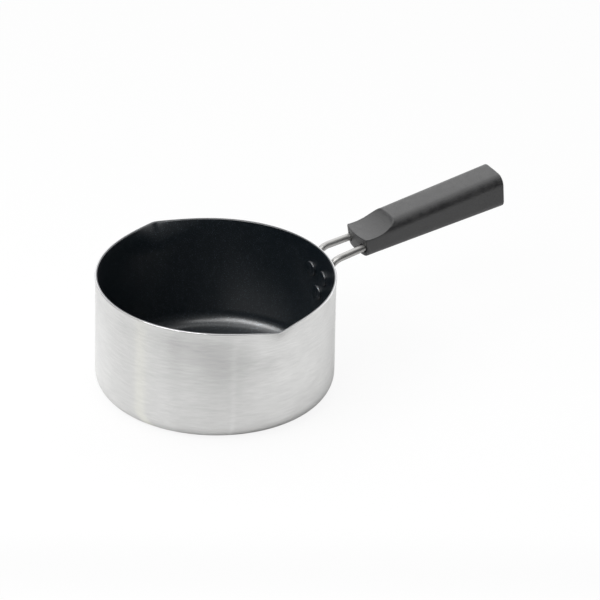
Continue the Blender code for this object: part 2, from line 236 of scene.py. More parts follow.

# Painted shade on the table that only metal sees, darkening its reflection: between azimuths, with a blur
# in radians, and by distance from the pan's axis
DIM_FROM = math.radians(188.0)
DIM_BLUR = 0.12
DIM_SHARE = 0.07
DIMMER_FROM = math.radians(219.0)
DIMMER_BLUR = 0.05
DIMMER_SHARE = 0.06
DIM_TO = math.radians(262.0)
DIM_TO_BLUR = 0.15
DIM_TO_SHARE = 0.75
NEAR_GAIN = 0.85
FARTHEST_GAIN = 1.5
FARTHEST_FADE = (0.205, 0.26)
FAR_SHARE = 0.09
FAR_FADE = (0.17, 0.27)
UNDER_PAN_FADE = (0.085, 0.12)
UNDER_RIGHT_FADE = (0.02, 0.08)
UNDER_RIGHT_SHARE = 0.3
EVEN_SHARE = 0.04

# Derived places
FLAT_INNER = OUTER_RADIUS + FLAT_GAP
FLAT_CENTRE = FLAT_INNER + FLAT_THICKNESS / 2
FLAT_OUTER = FLAT_INNER + FLAT_THICKNESS
LEG_ANGLE = HAIRPIN_RADIUS / FLAT_CENTRE
GRIP_FRONT = Vector((OUTER_RADIUS + GRIP_STANDOFF, 0, HEIGHT - GRIP_BELOW_RIM))
GRIP_FRAME = Matrix.Translation(GRIP_FRONT) @ Matrix.Rotation(-GRIP_TILT, 4, "Y")
LEG_ENTRY = GRIP_FRAME @ Vector((0, 0, -LEG_BELOW_AXIS))
BORE_RADIUS = ROD_DIAMETER / 2 + LEG_FIT
LEG_HALF_SPREAD = GRIP_FRONT_WIDTH / 2 - LEG_COVER - BORE_RADIUS
LEG_WALL_X = FLAT_CENTRE * math.cos(LEG_ANGLE)
BEND_SWEEP = math.pi / 2 - GRIP_TILT
CORNER_Z = LEG_ENTRY.z - (LEG_ENTRY.x - LEG_WALL_X) * math.tan(GRIP_TILT)
BEND_START = CORNER_Z - BEND_RADIUS * math.tan(BEND_SWEEP / 2)
BEND_END_X = LEG_WALL_X + BEND_RADIUS * (1 - math.cos(BEND_SWEEP))
HAIRPIN_Z = BEND_START - HAIRPIN_STRAIGHT


# Shader maths


class Signal:
    """A node's output that takes part in sums and products as a number would."""

    def __init__(self, graph, socket):
        self.graph = graph
        self.socket = socket

    def __add__(self, other):
        return self.graph.maths("ADD", self, other)

    def __sub__(self, other):
        return self.graph.maths("SUBTRACT", self, other)

    def __rsub__(self, other):
        return self.graph.maths("SUBTRACT", other, self)

    def __mul__(self, other):
        return self.graph.maths("MULTIPLY", self, other)

    def __truediv__(self, other):
        return self.graph.maths("DIVIDE", self, other)

    def __pow__(self, other):
        return self.graph.maths("POWER", self, other)

    __radd__ = __add__
    __rmul__ = __mul__


class Graph:
    """Makes the nodes of one tree."""

    def __init__(self, tree):
        self.tree = tree

    def plug(self, socket, value):
        if isinstance(value, Signal):
            self.tree.links.new(value.socket, socket)
        else:
            socket.default_value = value

    def node(self, kind, settings=None, sockets=None, output=0):
        """A node of one kind: its settings first, then the values or links of its sockets."""
        made = self.tree.nodes.new(kind)
        for key, value in (settings or {}).items():
            setattr(made, key, value)
        for key, value in (sockets or {}).items():
            self.plug(made.inputs[key], value)
        return Signal(self, made.outputs[output])

    def maths(self, operation, first, second):
        return self.node("ShaderNodeMath", {"operation": operation}, {0: first, 1: second})

    def ramp(self, value, start, end, low=0.0, high=1.0):
        """A smooth step from low to high as the value goes from start to end."""
        sockets = {"Value": value, "From Min": start, "From Max": end, "To Min": low, "To Max": high}
        return self.node("ShaderNodeMapRange", {"interpolation_type": "SMOOTHSTEP"}, sockets)

    def blend(self, factor, first, second):
        """A colour between two colours."""
        return self.node("ShaderNodeMix", {"data_type": "RGBA"}, {0: factor, 6: first, 7: second}, 2)

    def mix(self, factor, first, second):
        """A surface between two surfaces, or a world between two worlds."""
        return self.node("ShaderNodeMixShader", {}, {0: factor, 1: first, 2: second})

    def split(self, vector):
        separated = self.node("ShaderNodeSeparateXYZ", {}, {0: vector})
        return [Signal(self, output) for output in separated.socket.node.outputs]

    def join(self, x, y, z):
        return self.node("ShaderNodeCombineXYZ", {}, {0: x, 1: y, 2: z})

    def stretch(self, vector, scale):
        return self.node("ShaderNodeVectorMath", {"operation": "MULTIPLY"}, {0: vector, 1: scale})

    def noise(self, vector, scale, detail=2.0, roughness=0.5):
        sockets = {"Vector": vector, "Scale": scale, "Detail": detail, "Roughness": roughness}
        return self.node("ShaderNodeTexNoise", {"noise_dimensions": "3D"}, sockets)

    def place(self):
        """Where the shaded point lies in the model's frame."""
        return self.node("ShaderNodeTexCoord", {}, {}, "Object")


class Finish(Graph):
    """One material with its Principled shader."""

    def __init__(self, name, **constants):
        self.material = bpy.data.materials.new(name)
        self.material.use_nodes = True
        super().__init__(self.material.node_tree)
        self.shader = self.tree.nodes["Principled BSDF"]
        for key, value in constants.items():
            self.set(key.replace("_", " "), value)

    def set(self, socket, value):
        self.plug(self.shader.inputs[socket], value)

    def bump(self, height, distance):
        """Raise the surface by a share of a distance in metres."""
        self.set("Normal", self.node("ShaderNodeBump", {}, {"Height": height, "Distance": distance}))


def colour(red, green, blue):
    return (red, green, blue, 1.0)


def grey(level):
    return colour(level, level, level)


def brushed_aluminium():
    """Bare aluminium with brush lines that run round the wall and, as circles, over the base; faces that
    look up, such as the rim's top, get a darker colour as painted shade.
    """
    finish = Finish("brushed_aluminium", Metallic=1.0, Anisotropic=1.0, Anisotropic_Rotation=0.25)
    x, y, z = finish.split(finish.place())
    profile = z + (x * x + y * y) ** 0.5

    def brushing(along, across, detail, roughness=0.5):
        """Noise drawn out along the brush lines, by its scale along and across them."""
        place = finish.join(x * along, y * along, profile * across)
        return finish.noise(place, 1.0, detail, roughness)

    hairs = brushing(170, 2600, 2.0)
    strokes = brushing(80, 620, 3.0, 0.6)
    clouds = brushing(55, 40, 3.0)
    tone = finish.ramp(hairs * 0.35 + strokes * 0.4 + clouds * 0.25, 0.33, 0.67)
    dull = colour(0.70, 0.70, 0.695)
    bright = colour(0.81, 0.81, 0.80)
    # Painted shade: faces that look up, such as the rim's top, are given a darker colour than the rest of
    # the metal.
    upward_painted_shade = colour(0.52, 0.52, 0.53)
    upward = finish.split(finish.node("ShaderNodeNewGeometry", {}, {}, "Normal"))[2]
    upward_shade_mask = finish.ramp(upward, 0.3, 0.8)
    finish.set("Base Color", finish.blend(upward_shade_mask, finish.blend(tone, dull, bright), upward_painted_shade))
    finish.set("Roughness", finish.ramp(strokes, 0.25, 0.75, 0.23, 0.21))
    finish.bump(hairs * 0.5 + strokes * 0.5, 0.000006)
    return finish.material


def black_coating(name, roughness):
    """Sprayed non-stick coating, satin black with fine pale flakes."""
    finish = Finish(name, IOR=1.9)
    place = finish.place()
    speckle = finish.noise(place, 1500.0, 2.0, 0.6)
    mottle = finish.noise(place, 120.0, 3.0, 0.6)
    flakes = finish.ramp(speckle, 0.58, 0.72)
    binder = colour(0.0010, 0.0038, 0.0066)
    flake = colour(0.24, 0.28, 0.32)
    finish.set("Base Color", finish.blend(flakes, binder, flake))
    finish.set("Metallic", flakes)
    finish.set("Roughness", roughness + mottle * 0.08)
    finish.bump(speckle, 0.00003)
    return finish.material


def rivet_tail():
    """Bare aluminium, burnished by the closing tool."""
    finish = Finish("rivet_tail_metal", Metallic=1.0)
    grain = finish.noise(finish.place(), 900.0, 3.0, 0.6)
    dull = colour(0.62, 0.62, 0.61)
    bright = colour(0.78, 0.78, 0.77)
    finish.set("Base Color", finish.blend(grain, dull, bright))
    finish.set("Roughness", 0.24 + grain * 0.16)
    finish.bump(grain, 0.00004)
    return finish.material


def drawn_stainless():
    """Polished stainless rod with faint drawing lines along its length."""
    finish = Finish("drawn_stainless", Metallic=1.0)
    straightened = finish.node("ShaderNodeAttribute", {"attribute_name": "straightened"}, {}, "Vector")
    lines = finish.noise(finish.stretch(straightened, (40.0, 4200.0, 4200.0)), 1.0, 2.0)
    patches = finish.noise(straightened, 260.0, 3.0, 0.6)
    dull = colour(0.40, 0.395, 0.385)
    bright = colour(0.47, 0.465, 0.455)
    finish.set("Base Color", finish.blend(lines, dull, bright))
    finish.set("Roughness", 0.33 + lines * 0.08 + patches * 0.06)
    finish.bump(lines, 0.000004)
    return finish.material


def black_phenolic():
    """Moulded black resin, matt, with a fine grain and a slightly cloudy sheen."""
    finish = Finish("black_phenolic", IOR=1.8)
    place = finish.place()
    grain = finish.noise(place, 1100.0, 3.0, 0.6)
    clouds = finish.noise(place, 190.0, 4.0, 0.6)
    tone = finish.ramp(grain * 0.5 + clouds * 0.5, 0.4, 0.6)
    resin = colour(0.004, 0.004, 0.005)
    filler = colour(0.018, 0.018, 0.019)
    finish.set("Base Color", finish.blend(tone, resin, filler))
    finish.set("Roughness", finish.ramp(clouds, 0.35, 0.65, 0.42, 0.52))
    finish.bump(grain * 0.6 + clouds * 0.4, 0.00030)
    return finish.material


def zinc_plate():
    """Zinc plating, slightly uneven."""
    finish = Finish("zinc_plate", Metallic=1.0)
    grain = finish.noise(finish.place(), 1400.0, 3.0, 0.6)
    dull = colour(0.52, 0.53, 0.54)
    bright = colour(0.68, 0.68, 0.66)
    finish.set("Base Color", finish.blend(grain, dull, bright))
    finish.set("Roughness", 0.22 + grain * 0.18)
    finish.bump(grain, 0.00002)
    return finish.material


# Mesh tools


def add_piece(name, mesh, *materials):
    obj = bpy.data.objects.new(name, mesh)
    bpy.context.scene.collection.objects.link(obj)
    for mat in materials:
        mesh.materials.append(mat)
    return obj


def smoothstep(value):
    value = min(max(value, 0.0), 1.0)
    return value * value * (3 - 2 * value)


def arc(centre_r, centre_z, radius, start, end, count):
    """Points on a circle in the profile plane, angles in degrees from +r towards +z."""
    points = []
    for i in range(count + 1):
        angle = math.radians(start + (end - start) * i / count)
        points.append((centre_r + radius * math.cos(angle), centre_z + radius * math.sin(angle)))
    return points


def turned(name, outline, steps, *materials):
    """A solid of revolution about local Z from (radius, height) points, one end to the other."""
    mesh = bpy.data.meshes.new(name)
    edges = [(i, i + 1) for i in range(len(outline) - 1)]
    mesh.from_pydata([(r, 0, z) for r, z in outline], edges, [])
    obj = add_piece(name, mesh, *materials)
    screw = obj.modifiers.new("turn", "SCREW")
    screw.axis = "Z"
    screw.steps = steps
    screw.render_steps = steps
    screw.use_merge_vertices = True
    screw.merge_threshold = TURN_MERGE
    return settle(obj)


def settle(obj):
    """Replace the object's mesh by its evaluated one and drop its modifiers."""
    bpy.context.view_layer.update()
    evaluated = obj.evaluated_get(bpy.context.evaluated_depsgraph_get())
    mesh = bpy.data.meshes.new_from_object(evaluated)
    obj.modifiers.clear()
    obj.data = mesh
    mesh.name = obj.name
    return obj


def cut(obj, cutters):
    """Take the shapes of the cutters out of a piece."""
    for cutter in cutters:
        boolean = obj.modifiers.new(cutter.name, "BOOLEAN")
        boolean.operation = "DIFFERENCE"
        boolean.solver = "EXACT"
        boolean.object = cutter
    return settle(obj)


def discard(cutters):
    for cutter in cutters:
        bpy.data.objects.remove(cutter, do_unlink=True)


def shade(obj):
    """Smooth shading, with sharp edges where faces meet at more than the sharp angle."""
    obj.data.shade_smooth()
    obj.data.set_sharp_from_angle(angle=SHARP_ANGLE)
    return obj


def dress(obj, slot, *nodes):
    """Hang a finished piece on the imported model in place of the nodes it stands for."""
    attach(obj, BODY)
    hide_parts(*nodes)


def loft(name, rings, close_start, close_end, *materials):
    """Skin a list of rings with the same number of points."""
    shape = bmesh.new()
    loops = [[shape.verts.new(point) for point in ring] for ring in rings]
    count = len(rings[0])
    for low, high in zip(loops, loops[1:]):
        for i in range(count):
            shape.faces.new((low[i], low[(i + 1) % count], high[(i + 1) % count], high[i]))
    if close_start:
        shape.faces.new(loops[0][::-1])
    if close_end:
        shape.faces.new(loops[-1])
    bmesh.ops.recalc_face_normals(shape, faces=shape.faces)
    mesh = bpy.data.meshes.new(name)
    shape.to_mesh(mesh)
    shape.free()
    return add_piece(name, mesh, *materials)


# Vessel and coating


def lip_bump(angle):
    """One at the middle of a lip, falling to nothing round the rim."""
    from_lip = abs(abs(angle) - LIP_DIRECTION)
    return math.exp(-(math.hypot(from_lip, LIP_TIP) - LIP_TIP) / LIP_SPREAD)


def form_rim(obj):
    """Flare the rim and press the two lips outwards and a little down."""
    for vertex in obj.data.vertices:
        radius = math.hypot(vertex.co.x, vertex.co.y)
        if radius < INNER_RADIUS / 2:
            continue
        below_rim = HEIGHT - vertex.co.z
        bump = lip_bump(math.atan2(vertex.co.y, vertex.co.x))
        pressed = max(1 - below_rim / LIP_DEPTH, 0) ** 2
        flared = max(1 - below_rim / FLARE_DEPTH, 0) ** 2
        grown = radius + LIP_REACH * bump * pressed + FLARE * flared
        vertex.co.x *= grown / radius
        vertex.co.y *= grown / radius
        vertex.co.z -= LIP_DROP * bump * pressed
    return obj


def wall_rows(radius, low, high):
    """Points up a wall: even rows below the lips, then rows that crowd towards the rim."""
    start = HEIGHT - LIP_DEPTH
    points = [(radius, low + (start - low) * i / PLAIN_WALL_ROWS) for i in range(1, PLAIN_WALL_ROWS)]
    for i in range(WALL_ROWS):
        share = 1 - (1 - i / WALL_ROWS) ** ROW_CROWDING
        points.append((radius, start + (high - start) * share))
    return points


def vessel(mat):
    inner_corner = BASE_CORNER - WALL
    inside = [(0, FLOOR)]
    inside += arc(INNER_RADIUS - inner_corner, FLOOR + inner_corner, inner_corner, -90, 0, CORNER_STEPS)
    inside += wall_rows(INNER_RADIUS, FLOOR + inner_corner, HEIGHT - RIM_ROUND)
    rim = arc(INNER_RADIUS + RIM_ROUND, HEIGHT - RIM_ROUND, RIM_ROUND, 180, 90, RIM_STEPS)
    rim += arc(OUTER_RADIUS - RIM_ROUND, HEIGHT - RIM_ROUND, RIM_ROUND, 90, 0, RIM_STEPS)
    outside = wall_rows(OUTER_RADIUS, BASE_CORNER, HEIGHT - RIM_ROUND)[::-1]
    outside += arc(OUTER_RADIUS - BASE_CORNER, BASE_CORNER, BASE_CORNER, 0, -90, CORNER_STEPS)
    outside += [(0, 0)]
    return form_rim(turned("vessel", inside + rim + outside, PAN_STEPS, mat))


def coating(mat):
    """A thin skin over the whole inside, up over the rim's inner rounding."""

    def skin(depth):
        """One face of the coating, at a depth inside the vessel's own face."""
        corner = BASE_CORNER - WALL - depth
        centre = FLOOR + depth + corner
        points = [(0, FLOOR + depth)]
        points += arc(INNER_RADIUS - depth - corner, centre, corner, -90, 0, CORNER_STEPS)
        points += wall_rows(INNER_RADIUS - depth, centre, HEIGHT - RIM_ROUND)
        turn = 180 - COAT_RIM_DEGREES
        points += arc(INNER_RADIUS + RIM_ROUND, HEIGHT - RIM_ROUND, RIM_ROUND + depth, 180, turn, RIM_STEPS)
        return points

    outline = skin(COAT_GAP + COAT) + skin(COAT_GAP)[::-1]
    return form_rim(turned("nonstick_coating", outline, PAN_STEPS, mat))


# Handle rod


def flat_station(along, height, tangent):
    """A place on the pressed-flat part: along is measured round the wall from the handle's line."""
    angle = along / FLAT_CENTRE
    outward = Vector((math.cos(angle), math.sin(angle), 0))
    around = Vector((-math.sin(angle), math.cos(angle), 0))
    centre = outward * FLAT_CENTRE + Vector((0, 0, height))
    direction = around * tangent[0] + Vector((0, 0, tangent[1]))
    return centre, direction, outward, 0.0


def bend_station(sweep):
    """A place on the bend from the wall to the leg; the rod turns from flat to round along it."""
    progress = sweep / BEND_SWEEP
    half_spread = FLAT_CENTRE * math.sin(LEG_ANGLE)
    half_spread += (SPREAD_AT_BEND / 2 - half_spread) * smoothstep(progress)
    x = LEG_WALL_X + BEND_RADIUS * (1 - math.cos(sweep))
    z = BEND_START + BEND_RADIUS * math.sin(sweep)
    angle = LEG_ANGLE * (1 - progress)
    level = math.cos(sweep)
    outward = Vector((math.cos(angle) * level, math.sin(angle) * level, -math.sin(sweep)))
    roundness = smoothstep((progress - FLAT_TO_BEND) / (ROUND_FROM_BEND - FLAT_TO_BEND))
    return Vector((x, half_spread, z)), Vector((math.sin(sweep), 0, level)), outward, roundness


def leg_station(x):
    """A place on the straight leg at a world x; it closes in to the grip's bore."""
    z = LEG_ENTRY.z + (x - LEG_ENTRY.x) * math.tan(GRIP_TILT)
    opening = max((LEG_ENTRY.x - x) / (LEG_ENTRY.x - BEND_END_X), 0.0)
    half_spread = LEG_HALF_SPREAD + (SPREAD_AT_BEND / 2 - LEG_HALF_SPREAD) * opening
    direction = Vector((math.cos(GRIP_TILT), 0, math.sin(GRIP_TILT)))
    outward = Vector((math.sin(GRIP_TILT), 0, -math.cos(GRIP_TILT)))
    return Vector((x, half_spread, z)), direction, outward, 1.0


def rod_section(centre, direction, outward, roundness):
    """A ring round the rod and its flat outline, from a bar with round edges to a full circle."""
    direction = direction.normalized()
    side = direction.cross(outward).normalized()
    outward = side.cross(direction).normalized()
    half_width = (FLAT_WIDTH + (ROD_DIAMETER - FLAT_WIDTH) * roundness) / 2
    half_depth = (FLAT_THICKNESS + (ROD_DIAMETER - FLAT_THICKNESS) * roundness) / 2
    power = FLAT_SQUARENESS + (1 - FLAT_SQUARENESS) * roundness
    ring = []
    outline = []
    for i in range(ROD_SIDES):
        turn = 2 * math.pi * (i + 0.5) / ROD_SIDES
        across = math.copysign(abs(math.cos(turn)) ** power, math.cos(turn)) * half_width
        depth = math.copysign(abs(math.sin(turn)) ** power, math.sin(turn)) * half_depth
        ring.append(centre + side * across + outward * depth)
        outline.append((across, depth))
    return ring, outline


def rod_stations():
    """Half of the hairpin, from its closed end on the handle's line to the end of one leg."""
    stations = []
    for i in range(HAIRPIN_STEPS + 1):
        turn = math.pi / 2 * i / HAIRPIN_STEPS
        along = HAIRPIN_RADIUS * math.sin(turn)
        height = HAIRPIN_Z - HAIRPIN_RADIUS * math.cos(turn)
        stations.append(flat_station(along, height, (math.cos(turn), math.sin(turn))))
    for i in range(1, LEG_STEPS):
        height = HAIRPIN_Z + (BEND_START - HAIRPIN_Z) * i / LEG_STEPS
        stations.append(flat_station(HAIRPIN_RADIUS, height, (0, 1)))
    stations += [bend_station(BEND_SWEEP * i / BEND_STEPS) for i in range(BEND_STEPS + 1)]
    leg_end = (GRIP_FRAME @ Vector((LEG_IN_GRIP, 0, -LEG_BELOW_AXIS))).x
    for i in range(1, LEG_STEPS + 1):
        stations.append(leg_station(BEND_END_X + (LEG_ENTRY.x - BEND_END_X) * i / LEG_STEPS))
    return stations + [leg_station(leg_end)]


def handle_rod(mat):
    stations = rod_stations()
    sections = [rod_section(*station) for station in stations]
    half = loft("hairpin_rod", [ring for ring, _ in sections], False, True, mat)
    straightened = half.data.attributes.new("straightened", "FLOAT_VECTOR", "POINT")
    length = 0.0
    index = 0
    for i, (_, outline) in enumerate(sections):
        if i:
            length += (stations[i][0] - stations[i - 1][0]).length
        for across, depth in outline:
            straightened.data[index].vector = (length, across, depth)
            index += 1
    mirror = half.modifiers.new("both_legs", "MIRROR")
    mirror.use_axis = (False, True, False)
    mirror.merge_threshold = MIRROR_MERGE
    return settle(half)


# Grip


def scoop_height(along):
    """The height of the thumb scoop's floor at a distance from the front; far back it clears the grip."""
    across = abs(along - SCOOP_CENTRE) / SCOOP_RADIUS
    if across >= 1:
        return SCOOP_FLOOR + SCOOP_RADIUS
    return SCOOP_FLOOR + SCOOP_RADIUS * (1 - math.sqrt(1 - across * across))


def soft_minimum(first, second, softness):
    """The lower of two heights, with the edge between them rounded."""
    overlap = max(softness - abs(first - second), 0) / softness
    return min(first, second) - overlap * overlap * softness / 4


def grip_outline(half_width, top, bottom, inset):
    """Round-cornered section, drawn in evenly by an inset."""
    corners = (
        (half_width - GRIP_SHOULDER, top - GRIP_SHOULDER, GRIP_SHOULDER, 0),
        (-half_width + GRIP_SHOULDER, top - GRIP_SHOULDER, GRIP_SHOULDER, 90),
        (-half_width + GRIP_KEEL, bottom + GRIP_KEEL, GRIP_KEEL, 180),
        (half_width - GRIP_KEEL, bottom + GRIP_KEEL, GRIP_KEEL, 270),
    )
    corner_points = [
        arc(y, z, radius - inset, start, start + 90, GRIP_CORNER_STEPS) for y, z, radius, start in corners
    ]
    ring = []
    for points, following in zip(corner_points, corner_points[1:] + corner_points[:1]):
        ring += points
        (start_y, start_z), (end_y, end_z) = points[-1], following[0]
        for i in range(1, GRIP_SIDE_STEPS):
            share = i / GRIP_SIDE_STEPS
            ring.append((start_y + (end_y - start_y) * share, start_z + (end_z - start_z) * share))
    return ring


def front_bow(along, y):
    """How far the grip's front bulges towards the pan; it fades out behind the front edge."""
    from_side = max(1 - (2 * y / GRIP_FRONT_WIDTH) ** 2, 0.0)
    return FRONT_BOW * from_side ** FRONT_BOW_SQUARENESS * (1 - smoothstep(along / FRONT_BOW_DEPTH))


def front_face_ring(share):
    """The front face's outline, shrunk to a share of its size on the same bulge."""
    middle = (SCOOP_FLOOR - GRIP_FRONT_BELOW) / 2
    ring = []
    for point in grip_section(0, GRIP_EDGE):
        y = point.y * share
        ring.append(Vector((-front_bow(0, y), y, middle + (point.z - middle) * share)))
    return ring


def grip_section(along, inset=0.0):
    """The grip's outline at a distance from its front, in its own frame."""
    share = along / GRIP_LENGTH
    half_width = (GRIP_FRONT_WIDTH + (GRIP_REAR_WIDTH - GRIP_FRONT_WIDTH) * share) / 2
    top = GRIP_FRONT_ABOVE + (GRIP_REAR_ABOVE - GRIP_FRONT_ABOVE) * share
    bottom = -GRIP_FRONT_BELOW - (GRIP_REAR_BELOW - GRIP_FRONT_BELOW) * share
    points = []
    for y, z in grip_outline(half_width, top, bottom, inset):
        z += GRIP_CROWN * (1 - (y / half_width) ** 2) * smoothstep(z / top)
        scoop = scoop_height(along) - inset
        lip = SCOOP_LIP_RISE * math.exp(-(((z - scoop) / SCOOP_LIP_WIDTH) ** 2))
        z = soft_minimum(z, scoop, SCOOP_SOFTNESS) + lip
        points.append(Vector((along + GRIP_REAR_LEAN * share * z - front_bow(along, y), y, z)))
    return points


def grip_rings():
    """Sections from the front face to the rear face, drawn in at both ends to round the edges."""
    rings = [front_face_ring(i / FRONT_FACE_STEPS) for i in range(1, FRONT_FACE_STEPS)]
    for i in range(EDGE_STEPS):
        turn = math.pi / 2 * i / EDGE_STEPS
        rings.append(grip_section(GRIP_EDGE * (1 - math.cos(turn)), GRIP_EDGE * (1 - math.sin(turn))))
    body_length = GRIP_LENGTH - 2 * GRIP_EDGE
    count = round(body_length / GRIP_STEP)
    rings += [grip_section(GRIP_EDGE + body_length * i / count) for i in range(1, count)]
    for i in range(EDGE_STEPS + 1):
        turn = math.pi / 2 * i / EDGE_STEPS
        along = GRIP_LENGTH - GRIP_EDGE * (1 - math.sin(turn))
        rings.append(grip_section(along, GRIP_EDGE * (1 - math.cos(turn))))
    return rings


def put_in_grip_frame(obj, place):
    """Move an object's points from a spot in the grip's frame to the model's frame."""
    obj.data.transform(GRIP_FRAME @ place)
    return obj


def bore_cutter(side):
    """A blind bore for one leg, with a softened mouth."""
    outline = [(0, LEG_IN_GRIP), (BORE_RADIUS, LEG_IN_GRIP), (BORE_RADIUS, BORE_MOUTH)]
    outline += [(BORE_RADIUS + BORE_MOUTH, 0), (BORE_RADIUS + BORE_MOUTH, -BORE_RADIUS), (0, -BORE_RADIUS)]
    along_x = Matrix.Rotation(math.pi / 2, 4, "Y")
    foot = Matrix.Translation((0, side * LEG_HALF_SPREAD, -LEG_BELOW_AXIS))
    return put_in_grip_frame(turned("bore", outline, SMALL_STEPS), foot @ along_x)


def underside():
    """The grip's lowest height where the screws go in, in its own frame."""
    return min(point.z for point in grip_section(SCREW_FROM_FRONT))


def screw_heights():
    """The screw's head face, neck and tip, in the grip's frame."""
    head_face = underside() + SCREW_SINK
    tip = ROD_DIAMETER / 2 - LEG_BELOW_AXIS - SCREW_SHORT_OF_LEG
    return head_face, head_face + SCREW_HEAD_RISE, tip


def screw_foot(side):
    return Matrix.Translation((SCREW_FROM_FRONT, side * LEG_HALF_SPREAD, 0))


def screw_cutter(side):
    """The counterbore and the hole that one screw goes through."""
    neck = screw_heights()[1]
    hole = SCREW_SHANK_RADIUS + SCREW_FIT
    sink = SCREW_HEAD_RADIUS + 2 * SCREW_FIT
    low = underside() - SCREW_HEAD_RISE
    outline = [(0, -LEG_BELOW_AXIS), (hole, -LEG_BELOW_AXIS), (hole, neck)]
    outline += [(sink, neck), (sink, low), (0, low)]
    return put_in_grip_frame(turned("screw_hole", outline, SMALL_STEPS), screw_foot(side))


def leg_cutter(side):
    """The hole that one screw goes into in its leg."""
    hole = SCREW_SHANK_RADIUS + SCREW_FIT
    low = -LEG_BELOW_AXIS - ROD_DIAMETER
    high = -LEG_BELOW_AXIS + ROD_DIAMETER
    outline = [(0, high), (hole, high), (hole, low), (0, low)]
    return put_in_grip_frame(turned("leg_hole", outline, SMALL_STEPS), screw_foot(side))


def grip(mat):
    body = loft("grip_moulding", grip_rings(), True, True, mat)
    body.data.transform(GRIP_FRAME)
    return body


# Rivets and screws


def rivet_outline():
    """Heights are minus the distance from the pan's axis, so that the domed head is on top."""
    head_seat = -(math.sqrt(COAT_INNER ** 2 - RIVET_HEAD_RADIUS ** 2) - RIVET_HEAD_EDGE)
    tail_seat = -(FLAT_OUTER + RIVET_FIT)
    crown_radius = RIVET_HEAD_RADIUS - RIVET_HEAD_SHOULDER
    dome = (crown_radius ** 2 + RIVET_HEAD_CROWN ** 2) / (2 * RIVET_HEAD_CROWN)
    opening = math.degrees(math.asin(crown_radius / dome))
    top = head_seat + RIVET_HEAD_RISE
    outline = [(0, top)] + arc(0, top - dome, dome, 90, 90 - opening, DOME_STEPS)[1:]
    shoulder = top - RIVET_HEAD_CROWN - RIVET_HEAD_SHOULDER
    outline += arc(crown_radius, shoulder, RIVET_HEAD_SHOULDER, 90 - opening, 0, EDGE_STEPS)
    outline += [(RIVET_HEAD_RADIUS, head_seat - RIVET_HEAD_EDGE)]
    outline += [(RIVET_SHANK_RADIUS, head_seat - RIVET_HEAD_EDGE), (RIVET_SHANK_RADIUS, tail_seat)]
    tail_end = tail_seat - RIVET_TAIL_RISE
    chamfer = tail_end + RIVET_TAIL_CHAMFER
    outline += [(RIVET_TAIL_RADIUS, tail_seat), (RIVET_TAIL_RADIUS, chamfer)]
    corner = RIVET_TAIL_RADIUS - RIVET_TAIL_CHAMFER
    outline += arc(corner, chamfer, RIVET_TAIL_CHAMFER, 0, -90, EDGE_STEPS)[1:]
    return outline + [(0, tail_end)]


def radial_place(obj, angle, height):
    """Stand local Z on the pan's radius, pointing at the axis."""
    turn = Matrix.Rotation(angle, 4, "Z") @ Matrix.Rotation(-math.pi / 2, 4, "Y")
    obj.data.transform(Matrix.Translation((0, 0, height)) @ turn)
    return obj


def rivet(name, angle, height, head_mat, tail_mat):
    """One rivet, black where its head is and bare from the shank outwards."""
    piece = turned(name, rivet_outline(), SMALL_STEPS, head_mat, tail_mat)
    for face in piece.data.polygons:
        face.material_index = 1 if face.center.z < -INNER_RADIUS else 0
    return radial_place(piece, angle, height)


def rivet_cutter(angle, height):
    """The drill for one rivet's hole through coating, wall and rod."""
    hole = RIVET_SHANK_RADIUS + RIVET_FIT
    high = RIVET_HEAD_RADIUS - INNER_RADIUS
    low = -FLAT_OUTER - RIVET_HEAD_RADIUS
    drill = turned("rivet_hole", [(0, high), (hole, high), (hole, low), (0, low)], SMALL_STEPS)
    return radial_place(drill, angle, height)


def screw_slot(head_face, turn):
    """One cutter for an arm of the cross slot."""
    mesh = bpy.data.meshes.new("screw_slot")
    shape = bmesh.new()
    bmesh.ops.create_cube(shape, size=1)
    size = (SCREW_SLOT_LENGTH, SCREW_SLOT_WIDTH, 2 * SCREW_SLOT_DEPTH)
    bmesh.ops.scale(shape, vec=size, verts=shape.verts)
    place = Matrix.Translation((0, 0, head_face)) @ Matrix.Rotation(turn, 4, "Z")
    bmesh.ops.transform(shape, matrix=place, verts=shape.verts)
    shape.to_mesh(mesh)
    shape.free()
    return add_piece("screw_slot", mesh)


def grip_screw(name, side, mat):
    head_face, neck, tip = screw_heights()
    shoulder = head_face + SCREW_HEAD_CHAMFER
    outline = [(0, tip), (SCREW_SHANK_RADIUS - SCREW_POINT, tip)]
    outline += [(SCREW_SHANK_RADIUS, tip - SCREW_POINT), (SCREW_SHANK_RADIUS, neck)]
    outline += [(SCREW_HEAD_RADIUS, neck), (SCREW_HEAD_RADIUS, shoulder)]
    rounding = arc(SCREW_HEAD_RADIUS - SCREW_HEAD_CHAMFER, shoulder, SCREW_HEAD_CHAMFER, 0, -90, EDGE_STEPS)
    outline += rounding[1:] + [(0, head_face)]
    slots = [screw_slot(head_face, 0), screw_slot(head_face, math.pi / 2)]
    piece = cut(turned(name, outline, SMALL_STEPS, mat), slots)
    discard(slots)
    return put_in_grip_frame(piece, screw_foot(side))


# Studio


def camera():
    """The photo's camera; the answer is the level direction from the pan towards it."""
    data = bpy.data.cameras.new("camera")
    data.lens = CAMERA_LENS
    data.sensor_width = 36
    data.clip_start = 0.1
    data.clip_end = 50
    obj = bpy.data.objects.new("camera", data)
    bpy.context.scene.collection.objects.link(obj)
    towards = Vector((math.sin(CAMERA_AZIMUTH), -math.cos(CAMERA_AZIMUTH), 0))
    back = towards * math.cos(CAMERA_ELEVATION) + Vector((0, 0, math.sin(CAMERA_ELEVATION)))
    obj.location = CAMERA_AIM + back * CAMERA_DISTANCE
    obj.rotation_mode = "QUATERNION"
    obj.rotation_quaternion = (-back).to_track_quat("-Z", "Y") @ Quaternion((0, 0, 1), CAMERA_ROLL)
    bpy.context.scene.camera = obj
    return towards


def world_light(graph, strength):
    return graph.node("ShaderNodeBackground", {}, {"Color": grey(1.0), "Strength": strength})


